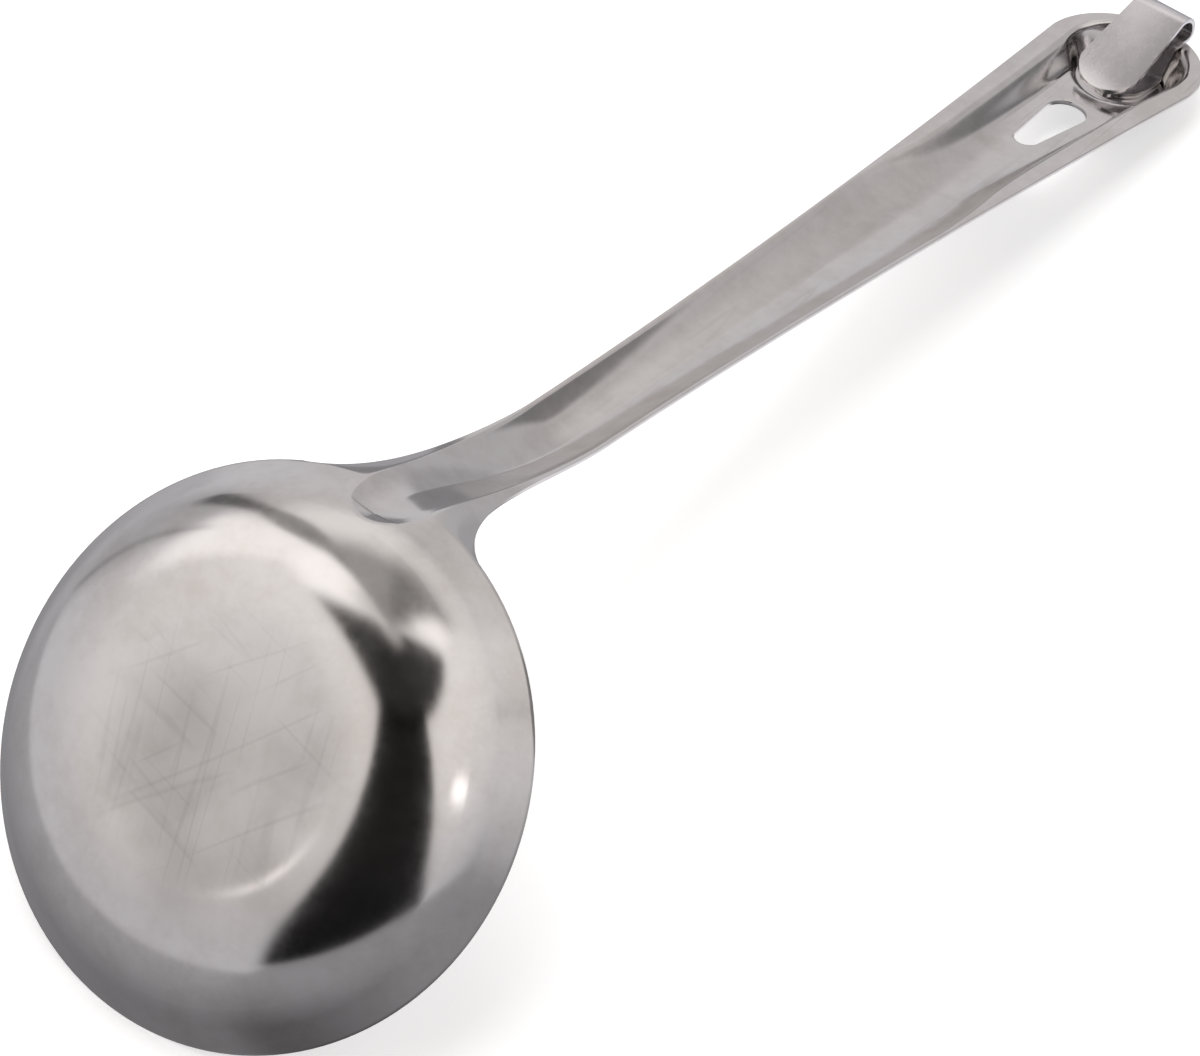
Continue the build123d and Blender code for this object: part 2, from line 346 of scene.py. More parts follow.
class SatinSteel:
    """Satin strip: fine brush lines along the strip, with faint clouds and hairline scratches.

    Scales are in patterns per millimetre.
    """

    light = (0.76, 0.74, 0.75)
    dull = (0.69, 0.67, 0.68)
    roughness = 0.26
    brush_scale = (0.4, 14.0, 6.0)
    cloud_scale = (0.3, 0.3, 0.3)
    scratch_scale = (0.2, 1.6, 1.6)
    scratch_width = 0.02
    bump_strength = 0.10
    bump_depth = 0.04

    def build(self) -> Material:
        """Return the material."""
        m = Finish("satin_steel")
        brush = m.noise(m.mapped((0, 0, 0), self.brush_scale), 3.0, 0.6)
        cloud = m.noise(m.mapped((0, 0, 0), self.cloud_scale), 4.0, 0.6)
        scratch = m.hairlines(m.mapped((0, 0, 12), self.scratch_scale), self.scratch_width)
        colour = m.mixed((brush * 0.5 + cloud * 0.5).step(0.35, 0.65), self.dull, self.light)
        rough = self.roughness + (brush - 0.5) * 0.08 + (cloud - 0.5) * 0.06 - scratch * 0.05
        height = brush * 0.6 + scratch * 0.3
        return m.close_metal(colour, rough, height, self.bump_strength, self.bump_depth)


class PaleFloor:
    """Plain matt white floor that keeps the object's shadow."""

    colour = (0.86, 0.86, 0.86)
    glow = 0.5

    def build(self) -> Material:
        """Return the material."""
        m = Finish("pale_floor")
        seen = m.node("ShaderNodeLightPath").outputs["Is Camera Ray"]
        matt = m.node("ShaderNodeBsdfDiffuse", None, {"Color": (*self.colour, 1)}).outputs[0]
        light = {"Color": (1, 1, 1, 1), "Strength": self.glow}
        glow = m.node("ShaderNodeEmission", None, light).outputs[0]
        both = m.node("ShaderNodeAddShader", None, {0: matt, 1: glow}).outputs[0]
        return m.close(m.node("ShaderNodeMixShader", None, {0: seen, 1: matt, 2: both}))


@dataclass(frozen=True)
class EdgeRound:
    """How edges over the sharp angle are rounded, with a width in millimetres and angles in degrees.

    What is left over the smooth angle stays crisp.
    """

    width: float
    steps: int
    sharp: float
    smooth: float


def add_object(name: str, points: Sequence[Vector], faces: Sequence[Face]) -> Object:
    """Make a mesh object at the origin, from vertices in metres."""
    mesh = bpy.data.meshes.new(name)
    mesh.from_pydata(points, [], faces)
    mesh.validate()
    return add_data(name, mesh)


def add_data(name: str, data: bpy.types.ID) -> Object:
    """Put a mesh, curve, camera or lamp into the scene as an object at the origin."""
    made = bpy.data.objects.new(name, data)
    bpy.context.scene.collection.objects.link(made)
    return made


def evaluated_mesh(source: Object) -> bpy.types.Mesh:
    """Return what an object's modifiers make of it, as a new mesh."""
    bpy.context.view_layer.update()
    shown = source.evaluated_get(bpy.context.evaluated_depsgraph_get())
    return bpy.data.meshes.new_from_object(shown)


def settle(source: Object, angle: float) -> None:
    """Turn an object's modifiers into its plain mesh, with smooth faces and crisp edges over an angle."""
    mesh = evaluated_mesh(source)
    source.modifiers.clear()
    source.data = mesh
    mesh.shade_smooth()
    mesh.set_sharp_from_angle(angle=math.radians(angle))


def carve(target: Object, cutters: Sequence[Object], edges: EdgeRound) -> None:
    """Cut closed objects out of a piece, round its edges and keep the result as its plain mesh."""
    for cutter in cutters:
        cut = target.modifiers.new("cut", "BOOLEAN")
        cut.operation, cut.object, cut.solver = "DIFFERENCE", cutter, "EXACT"
    bevel = target.modifiers.new("bevel", "BEVEL")
    bevel.width, bevel.segments, bevel.use_clamp_overlap = edges.width * MM, edges.steps, True
    bevel.limit_method, bevel.angle_limit = "ANGLE", math.radians(edges.sharp)
    settle(target, edges.smooth)
    for cutter in cutters:
        bpy.data.objects.remove(cutter)


def paint(piece: Object, steel: Material) -> None:
    """Give a piece one material."""
    piece.data.materials.clear()
    piece.data.materials.append(steel)


def add_group(name: str, inputs: dict[str, str]) -> NodeTree:
    """Start a Geometry Nodes group, given the names and types of its inputs."""
    group = bpy.data.node_groups.new(name, "GeometryNodeTree")
    for label, kind in inputs.items():
        group.interface.new_socket(label, in_out="INPUT", socket_type="NodeSocket" + kind)
    group.interface.new_socket("Geometry", in_out="OUTPUT", socket_type="NodeSocketGeometry")
    return NodeTree(group)


def close_group(t: NodeTree, geometry: Socket, steel: Material) -> bpy.types.NodeTree:
    """Make a group's geometry real, give it its material and send it out."""
    real = t.node("GeometryNodeRealizeInstances", None, {0: geometry}).outputs[0]
    smooth = t.node("GeometryNodeSetShadeSmooth", None, {0: real}).outputs[0]
    dressed = t.node("GeometryNodeSetMaterial", None, {"Geometry": smooth, "Material": steel}).outputs[0]
    t.node("NodeGroupOutput", None, {"Geometry": dressed})
    return t.tree


def add_nodes(target: Object, group: bpy.types.NodeTree, values: dict[str, object]) -> None:
    """Add a Geometry Nodes modifier and set its inputs by name."""
    nodes = target.modifiers.new(group.name, "NODES")
    nodes.node_group = group
    for item in group.interface.items_tree:
        if item.in_out == "INPUT" and item.name in values:
            nodes[item.identifier] = values[item.name]


class LadleBody:
    """The pressed sheet: bowl, grooved neck, channelled handle, hanging hole and hook seat.

    Lips and depths go by millimetres from the rim, handle_rows by row number, and the other tables by
    millimetres past the end of the neck (floors below 0 lie up the bowl's wall).
    """

    sheet = 0.8
    rim_radius = 45.0
    depth = 17.0
    rounding = 25.7
    wall_angle = math.radians(57)
    dome = 0.18
    flare_half_width = 17.0
    flare_power = 4.6
    neck_reach = 17.4
    neck_drop = 40.8
    neck_pull = 10.5
    neck_turning = 1.25
    round_share = 0.75
    handle_angle = math.radians(55)
    handle_length = 153.6
    handle_power = 1.7
    start_half_width = 7.3
    end_radius = 14.0
    seat_centre = 155.1
    seat_floor_radius = 7.6
    seat_top_radius = 11.0
    seat_depth = 5.1
    seat_blend = 0.9
    blend_depth = 1.5
    channel_end = -1.0
    channel_fade = 6.5
    hole_start = 126.9
    hole_pitch = 11.4
    hole_narrow_radius = 2.3
    hole_wide_radius = 3.6
    hole_heights = (-7.0, -1.0)
    nose = 9.4
    nose_margin = 1.5
    brim = 0.35
    fold_bend = 0.03
    arc_power = 2.2
    floor_columns = 24
    wall_columns = 16
    brim_columns = 16
    far_columns = 130
    root_rows = 30
    bowl_rows = 30
    bowl_crowding = 0.9
    neck_rows = 44
    neck_crowding = 1.35
    handle_rows = ((0, 0), (44, 92), (78, 143), (112, 153.6))
    end_rows = 56
    hole_steps = 28
    edges = EdgeRound(0.1, 2, 62.0, 38.0)
    lips = ((0, 6.1), (13, 6.3), (30, 6.6), (46, 6.95))
    depths = (
        (-9.4, 0.0), (-8.2, 0.42), (-6.6, 0.84), (-4.5, 1.16), (-2, 1.4), (0, 1.55), (13, 2.3), (30, 3.4),
        (46, 4.1), (60, 3.9), (75, 3.5), (95, 3.2), (115, 3.2), (150, 3.7), (185, 4.0),
    )
    flanges = ((90, 0.35), (98, 1.0), (108, 2.2), (125, 2.8), (143, 3.0), (155, 3.0))
    creases = ((0, 0.30), (80, 0.30), (120, 0.10))
    floors = ((-9.4, 0.60), (0, 0.50), (25, 0.43), (60, 0.36), (95, 0.40), (118, 0.56), (150, 0.62))
    flat_floors = ((100, 0.0), (138, 1.0))

    def __init__(self) -> None:
        """Work out the places that follow from the sizes."""
        reach = self.rounding * math.tan(self.wall_angle / 2)
        self.flat_radius = self.rim_radius - self.depth / math.tan(self.wall_angle) - reach
        self.straight = self.depth / math.sin(self.wall_angle) - reach
        self.bend_radius = self.rounding - self.sheet / 2
        self.bowl_length = self.straight + self.wall_angle * self.bend_radius + self.flat_radius
        self.middle_rim = self.rim_radius - self.sheet / 2 / math.sin(self.wall_angle)
        self.neck_start = math.sqrt(self.middle_rim**2 - self.flare_half_width**2)
        self.neck_end = (self.rim_radius + self.neck_reach, -self.neck_drop)
        line = [self.neck_edge(self.neck_share(row)) for row in range(self.neck_rows + 1)]
        self.lengths = [0.0]
        for last, here in zip(line, line[1:]):
            self.lengths.append(self.lengths[-1] + math.dist(last, here))
        self.neck_length = self.lengths[-1]

    def bowl_row(self, way: float) -> Span:
        """Return the radius and the height over the rim plane of the bowl at a way from its rim."""
        if way <= self.straight:
            return self.middle_rim - way * math.cos(self.wall_angle), way * math.sin(self.wall_angle)
        angle = self.wall_angle - (way - self.straight) / self.bend_radius
        if angle > 0:
            rise = self.depth - self.rounding + self.bend_radius * math.cos(angle)
            return self.flat_radius + self.bend_radius * math.sin(angle), rise
        radius = self.bowl_length - way
        return radius, self.depth - self.sheet / 2 + self.dome * ((radius / self.flat_radius) ** 2 - 1)

    def neck_edge(self, share: float) -> Span:
        """Return the line of the sheet's edges in the neck, from the rim to the straight handle."""
        pull, (end_u, end_w) = self.neck_pull, self.neck_end
        leave = (self.neck_start + math.cos(self.wall_angle) * pull, -math.sin(self.wall_angle) * pull)
        arrive = (end_u - math.cos(self.handle_angle) * pull, end_w + math.sin(self.handle_angle) * pull)
        corners = ((self.neck_start, 0.0), leave, arrive, self.neck_end)
        rest = 1 - share
        parts = (rest**3, 3 * rest**2 * share, 3 * rest * share**2, share**3)
        u, w = (sum(part * corner[i] for part, corner in zip(parts, corners)) for i in (0, 1))
        return u, w

    def neck_share(self, row: int) -> float:
        """Return the share of the neck's line at a row; rows are closer together near the rim."""
        return (row / self.neck_rows) ** self.neck_crowding

    def lip(self, way: float, half: float) -> float:
        """Return half the groove's width at a way from the rim, on a sheet of a given half width."""
        past = way - self.neck_length
        if past >= 0:
            return half - glide(self.flanges, past)
        return min(glide(self.lips, way), half - self.brim)

    def foot(self, way: float) -> float:
        """Return the share of the groove's width that its floor takes."""
        past = way - self.neck_length
        return glide(self.floors, past if past > 0 else min(way, 0.0))

    def across(self, way: float, half: float) -> list[float]:
        """Return a row's columns from edge to edge, which keep to the groove's foot and lip."""
        lip = self.lip(way, half)
        foot = self.foot(way) * lip
        floor, wall = (0.0, foot, self.floor_columns), (foot, lip, self.wall_columns)
        marks = (floor, wall, (lip, half, self.brim_columns))
        side = [low + (high - low) * (i + 1) / count for low, high, count in marks for i in range(count)]
        return [-y for y in reversed(side)] + [0.0] + side

    def groove(self, way: float, y: float, half: float) -> float:
        """Return the groove's depth at a way from the rim, negative up the wall, and y off the middle."""
        depth = glide(self.depths, way)
        if depth <= 0:
            return 0.0
        lip = self.lip(way, half)
        if way < 0:
            lip *= math.sqrt(max(1 - (way / self.nose) ** 2, TINY))
        x = abs(y) / lip
        if x >= 1:
            return 0.0
        foot = self.foot(way)
        past = way - self.neck_length
        bend = self.fold_bend
        fold = (math.hypot(x, bend) - bend) / (math.hypot(1, bend) - bend)
        crease = glide(self.creases, past)
        arc = 1 - crease * fold - (1 - crease) * x**self.arc_power
        trough = 1 - smooth_step((x - foot) / (1 - foot))
        flat = glide(self.flat_floors, past)
        return depth * (arc * (1 - flat) + trough * flat)

    def seat(self, q: float, y: float) -> float:
        """Return how deep the hook's round seat is pressed at a place of the handle."""
        past = math.hypot(q - self.seat_centre, y) - self.seat_floor_radius
        return self.seat_depth * (1 - smooth_step(past / (self.seat_top_radius - self.seat_floor_radius)))

    def handle_half(self, q: float) -> float:
        """Return half the handle's width."""
        share = min(q / self.handle_length, 1.0)
        return self.start_half_width + (self.end_radius - self.start_half_width) * share**self.handle_power

    def on_handle(self, q: float, y: float, height: float) -> Point:
        """Return a point by its place along, across and over the straight handle."""
        c, s = math.cos(self.handle_angle), math.sin(self.handle_angle)
        return self.neck_end[0] + q * c + height * s, y, self.neck_end[1] - q * s + height * c

    def placed(self, q: float, y: float, height: float) -> Vector:
        """Return such a point in metres in the part's frame."""
        return LIE.place(*self.on_handle(q, y, height))

    def handle_height(self, q: float, y: float, half: float) -> float:
        """Return the height of the sheet's middle over its edges; channel and seat run softly together."""
        fade = smooth_step((q - self.seat_centre - self.channel_end) / self.channel_fade)
        channel = self.groove(self.neck_length + q, y, half) * (1 - fade)
        seat = self.seat(q, y)
        soft = self.seat_blend * min(1.0, (channel + seat) / self.blend_depth) + TINY
        return -max(channel, seat) - max(soft - abs(channel - seat), 0.0) ** 2 / (4 * soft)

    def row_points(self, row: int) -> list[Point]:
        """Return the points of one row across the neck or the handle, counted from the rim."""
        if row <= self.neck_rows:
            return self.neck_row_points(row)
        row -= self.neck_rows
        last = self.handle_rows[-1][0]
        if row <= last:
            q = glide(self.handle_rows, row)
            half = self.handle_half(q)
            places = [(q, y) for y in self.across(self.neck_length + q, half)]
        else:
            half = self.end_radius
            out = (row - last) / self.end_rows
            narrow = math.sqrt(1 - out * out / 2)
            places = []
            for y in self.across(self.neck_length + self.handle_length, half):
                reach = half * out * math.sqrt(1 - (y / half) ** 2 / 2)
                places.append((self.handle_length + reach, y * narrow))
        return [self.on_handle(q, y, self.handle_height(q, y, half)) for q, y in places]

    def neck_row_points(self, row: int) -> list[Point]:
        """Return the points of one row across the neck."""
        share = self.neck_share(row)
        u, w = self.neck_edge(share)
        angle = math.pi / 2 + (self.handle_angle - math.pi / 2) * smooth_step(share * self.neck_turning)
        spread = (1 - share) ** self.flare_power
        half = self.start_half_width + (self.flare_half_width - self.start_half_width) * spread
        keep = 1 - smooth_step(share / self.round_share)
        way = self.lengths[row]
        made = []
        for y in self.across(way, half):
            side = self.flare_half_width * y / half
            curved = math.sqrt(self.middle_rim**2 - side**2) - self.neck_start
            height = curved * keep - self.groove(way, y, half)
            made.append((u + height * math.sin(angle), y, w + height * math.cos(angle)))
        return made

    def bowl_point(self, way: float, turn: float) -> Point:
        """Return a point of the bowl, pressed in where the groove runs up the wall."""
        radius, rise = self.bowl_row(way)
        u, y = radius * math.cos(turn), radius * math.sin(turn)
        half = self.flare_half_width
        pressed = self.groove(-way, y, half) if u > 0 and abs(y) < half else 0.0
        lean = self.wall_angle + (math.pi / 2 - self.wall_angle) * smooth_step(1 - way / self.nose)
        return u - math.sin(lean) * pressed, y, rise - math.cos(lean) * pressed

    def bowl(self, around: Sequence[float]) -> tuple[list[Point], list[Face]]:
        """Return the bowl's points, ring by ring from the rim, and its faces."""
        near = self.nose + self.nose_margin
        ways = [near * i / self.root_rows for i in range(self.root_rows)]
        shares = [(i / self.bowl_rows) ** self.bowl_crowding for i in range(self.bowl_rows)]
        ways += [near + (self.bowl_length - near) * share for share in shares]
        points = [self.bowl_point(way, turn) for way in ways for turn in around]
        top, count = len(points), len(around)
        points.append((0.0, 0.0, self.depth - self.sheet / 2 - self.dome))
        faces: list[Face] = []
        for a in range(0, top - count, count):
            pairs = [(a + i, a + (i + 1) % count) for i in range(count)]
            faces += [(i, j, j + count, i + count) for i, j in pairs]
        faces += [(top - count + i, top - count + (i + 1) % count, top) for i in range(count)]
        return points, faces

    def middle_sheet(self) -> tuple[list[Point], list[Face], list[int]]:
        """Return the sheet's middle surface: points, faces that look to the back, and the rim's points."""
        arc = [math.asin(y / self.middle_rim) for y in self.across(0.0, self.flare_half_width)]
        rest = 2 * math.pi - 2 * arc[-1]
        far = [arc[-1] + rest * i / self.far_columns for i in range(1, self.far_columns)]
        points, faces = self.bowl(arc + far)
        columns = len(arc) - 1
        before = list(range(columns + 1))
        for row in range(self.neck_rows + self.handle_rows[-1][0] + self.end_rows):
            here = [len(points) + i for i in range(columns + 1)]
            points += self.row_points(row + 1)
            faces += [(here[i], here[i + 1], before[i + 1], before[i]) for i in range(columns)]
            before = here
        return points, faces, [*range(columns, len(arc + far)), 0]

    def shell(self, name: str) -> Object:
        """Return the sheet with its real thickness, as a closed mesh."""
        points, faces, rim = self.middle_sheet()
        mesh = bmesh.new()
        verts = [mesh.verts.new(p) for p in points]
        for face in faces:
            mesh.faces.new([verts[i] for i in face])
        mesh.verts.index_update()
        mesh.normal_update()
        half = self.sheet / 2
        count = len(points)
        corners: list[Vector] = []
        for side in BACK_AND_FRONT:
            moved = [v.co + v.normal * half * side for v in verts]
            radius = self.middle_rim + side * half / math.sin(self.wall_angle)
            for index in rim:
                u, y, _ = points[index]
                size = radius / math.hypot(u, y)
                moved[index] = Vector((u * size, y * size, 0))
            corners += [LIE.place(*p) for p in moved]
        shell_faces = faces + [tuple(i + count for i in reversed(face)) for face in faces]
        for edge in mesh.edges:
            if edge.is_boundary:
                loop = edge.link_loops[0]
                a, b = loop.vert.index, loop.link_loop_next.vert.index
                shell_faces.append((b, a, a + count, b + count))
        mesh.free()
        return add_object(name, corners, shell_faces)

    def prism(self, name: str, outline: Sequence[Span], low: float, high: float) -> Object:
        """Make a closed prism on the handle, from its corners anticlockwise from above and two heights."""
        count = len(outline)
        points = [self.placed(q, y, height) for height in (low, high) for q, y in outline]
        faces = [tuple(reversed(range(count))), tuple(range(count, 2 * count))]
        faces += [(i, (i + 1) % count, (i + 1) % count + count, i + count) for i in range(count)]
        return add_object(name, points, faces)

    def hole_cutter(self) -> Object:
        """Return the keyhole's prism, which goes through the floor of the channel."""
        lean = math.asin((self.hole_wide_radius - self.hole_narrow_radius) / self.hole_pitch)
        side = math.pi / 2 + lean
        wide = (self.hole_start + self.hole_pitch, self.hole_wide_radius, -side, side)
        narrow = (self.hole_start, self.hole_narrow_radius, side, 2 * math.pi - side)
        outline = []
        for q, radius, first, last in (wide, narrow):
            for i in range(self.hole_steps + 1):
                angle = first + (last - first) * i / self.hole_steps
                outline.append((q + radius * math.cos(angle), radius * math.sin(angle)))
        return self.prism("hole_cutter", outline, *self.hole_heights)

    def build(self, steel: Material) -> None:
        """Make the body, cut its hole, round its edges and dress it."""
        body = self.shell("ladle_sheet")
        carve(body, [self.hole_cutter()], self.edges)
        paint(body, steel)
        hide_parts("ladle_body")
        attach(body, "root")


class PanHook:
    """The satin strip: foot on the seat, up past the handle's end and back over itself."""

    strip = 0.8
    half_width = 5.0
    tip_half_width = 6.0
    foot_length = 10.4
    bend_radius = 2.8
    small_bend = 0.9
    rise = 7.1
    reach = 21.6
    tip_height = 2.4
    seat_top_radius = 10.6
    wall_gap = 0.5
    lip_gap = 0.1
    overhang = 0.5
    tip_trim = 0.2
    foot_cut = (-1.0, 0.7)
    tip_cut = (0.9, 7.0)
    cut_margin = 1.0
    cut_steps = 32
    bend_steps = 10
    edges = EdgeRound(0.14, 3, 50.0, 40.0)

    def __init__(self, body: LadleBody) -> None:
        """Work out the corners of the strip's middle line: place, height and bend radius."""
        self.body = body
        top, half = body.sheet / 2, self.strip / 2
        floor = top - body.seat_depth + half
        floor_reach = math.sqrt(body.seat_floor_radius**2 - self.half_width**2)
        top_reach = math.sqrt(self.seat_top_radius**2 - self.half_width**2)
        wall_low = body.seat_centre + floor_reach - self.wall_gap
        wall_high = body.seat_centre + top_reach - self.wall_gap - self.strip
        lip = top + self.lip_gap + half
        upright = body.handle_length + body.end_radius + self.overhang - half
        small = self.small_bend + half
        self.foot = (wall_low - self.foot_length, floor, 0.0)
        self.tip = (upright - self.reach, floor + self.tip_height, 0.0)
        self.corners = (
            self.foot,
            (wall_low - half, floor, small),
            (wall_high, lip, small),
            (upright, lip + half, small),
            (upright, top + self.rise, self.bend_radius + half),
            self.tip,
        )

    def line(self) -> Object:
        """Return the path as a curve whose points carry their bend radius."""
        curve = bpy.data.curves.new("hook_path", "CURVE")
        curve.dimensions = "3D"
        spline = curve.splines.new("POLY")
        spline.points.add(len(self.corners) - 1)
        for point, (q, height, radius) in zip(spline.points, self.corners):
            point.co = (*self.body.placed(q, 0.0, height), 1)
            point.radius = radius * MM
        return add_data("hook_path", curve)

    def sweep_tree(self, steel: Material) -> bpy.types.NodeTree:
        """Return the node tree that bends the path and sweeps the strip along it."""
        width, thickness, steps = "Strip Width", "Strip Thickness", "Bend Steps"
        kinds = {"Geometry": "Geometry", width: "Float", thickness: "Float", steps: "Int"}
        t = add_group("strip_sweep", kinds)
        given = t.node("NodeGroupInput").outputs
        radius = t.node("GeometryNodeInputRadius").outputs[0]
        inputs = {"Curve": given["Geometry"], "Count": given[steps], "Radius": radius}
        bent = t.node("GeometryNodeFilletCurve", {"mode": "POLY"}, inputs).outputs[0]
        even = t.node("GeometryNodeSetCurveRadius", None, {"Curve": bent, "Radius": 1.0}).outputs[0]
        inputs = {"Width": given[width], "Height": given[thickness]}
        section = t.node("GeometryNodeCurvePrimitiveQuadrilateral", {"mode": "RECTANGLE"}, inputs)
        inputs = {"Curve": even, "Profile Curve": section.outputs[0], "Fill Caps": True}
        return close_group(t, t.node("GeometryNodeCurveToMesh", None, inputs).outputs[0], steel)

    def swept(self, steel: Material) -> Object:
        """Return the strip, still square at its ends, as a plain mesh."""
        line = self.line()
        sizes = {"Strip Width": 2 * self.half_width * MM, "Strip Thickness": self.strip * MM}
        add_nodes(line, self.sweep_tree(steel), {**sizes, "Bend Steps": self.bend_steps})
        mesh = evaluated_mesh(line)
        bpy.data.objects.remove(line)
        return add_data("hook_strip", mesh)

    def end_cutter(self, name: str, end: float, half: float, heights: Span) -> Object:
        """Return what lies round one rounded end of the strip, at heights over the middle of its foot."""
        centre, back, side = end + half, end - self.cut_margin, half + self.cut_margin
        outline = [(centre, side), (back, side), (back, -side), (centre, -side)]
        angles = [math.pi * i / self.cut_steps for i in range(self.cut_steps + 1)]
        outline += [(centre - half * math.sin(angle), -half * math.cos(angle)) for angle in angles]
        low, high = (self.foot[1] + height for height in heights)
        return self.body.prism(name, outline, low, high)

    def flare_leg(self, hook: Object) -> None:
        """Widen the upper leg evenly towards its free tip, by moving the tip's points apart."""
        c, s = math.cos(self.body.handle_angle), math.sin(self.body.handle_angle)
        along, over = LIE.turn(c, 0, -s), LIE.turn(s, 0, c)
        origin = self.body.placed(0, 0, 0)
        for vertex in hook.data.vertices:
            away = (vertex.co - origin) / MM
            at_tip = away.dot(along) < self.tip[0] + self.cut_margin
            if at_tip and away.dot(over) > self.foot[1] + self.strip:
                vertex.co.y *= self.tip_half_width / self.half_width

    def build(self, steel: Material) -> None:
        """Make the hook, round its ends and edges and dress it."""
        hook = self.swept(steel)
        self.flare_leg(hook)
        foot = self.end_cutter("foot_cutter", self.foot[0], self.half_width, self.foot_cut)
        tip = self.end_cutter("tip_cutter", self.tip[0] - self.tip_trim, self.tip_half_width, self.tip_cut)
        carve(hook, [foot, tip], self.edges)
        paint(hook, steel)
        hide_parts("pan_hook")
        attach(hook, "root")


class WeldMarks:
    """The round marks that the two spot welds leave on the seat's under side."""

    radius = 1.5
    spacing = 4.6
    height = 0.10
    segments = 28
    rings = 12
    smooth = 40.0

    def tree(self, steel: Material) -> bpy.types.NodeTree:
        """Return the node tree that sets one mark at each weld."""
        sizes = {"Mark Radius": "Float", "Mark Height": "Float"}
        places = {"First Weld": "Vector", "Weld Step": "Vector", "Turn": "Vector"}
        t = add_group("weld_marks", {**sizes, **places})
        given = t.node("NodeGroupInput").outputs
        inputs = {"Count": 2, "Start Location": given["First Weld"], "Offset": given["Weld Step"]}
        places = t.node("GeometryNodeMeshLine", {"mode": "OFFSET"}, inputs).outputs[0]
        inputs = {"Segments": self.segments, "Rings": self.rings, "Radius": 1.0}
        ball = t.node("GeometryNodeMeshUVSphere", None, inputs).outputs[0]
        inputs = {0: given["Mark Radius"], 1: given["Mark Radius"], 2: given["Mark Height"]}
        size = t.node("ShaderNodeCombineXYZ", None, inputs).outputs[0]
        inputs = {"Points": places, "Instance": ball, "Rotation": given["Turn"], "Scale": size}
        return close_group(t, t.node("GeometryNodeInstanceOnPoints", None, inputs).outputs[0], steel)

    def build(self, b: LadleBody, steel: Material) -> None:
        """Make the marks on the pressed sheet and dress them."""
        carrier = add_object("weld_marks", [Vector((0, 0, 0))], [])
        middle = b.seat_centre - b.seat_floor_radius / 4
        under = -b.seat_depth - b.sheet / 2
        first = b.placed(middle - self.spacing / 2, 0, under)
        last = b.placed(middle + self.spacing / 2, 0, under)
        values = {
            "Mark Radius": self.radius * MM,
            "Mark Height": self.height * MM,
            "First Weld": tuple(first),
            "Weld Step": tuple(last - first),
            "Turn": (0.0, b.handle_angle - LIE.tilt, 0.0),
        }
        add_nodes(carrier, self.tree(steel), values)
        settle(carrier, self.smooth)
        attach(carrier, "root")


@dataclass(frozen=True)
class Patch:
    """A part of the studio between two turns, with soft sides, that may rise and fade with height."""

    left: float
    right: float
    soft: float
    rise: Span | None = None
    fade: Span | None = None


@dataclass(frozen=True)
class Spot:
    """A small round lamp of the studio: turn, height and radius in degrees, and strength."""

    turn: float
    high: float
    radius: float
    gain: float


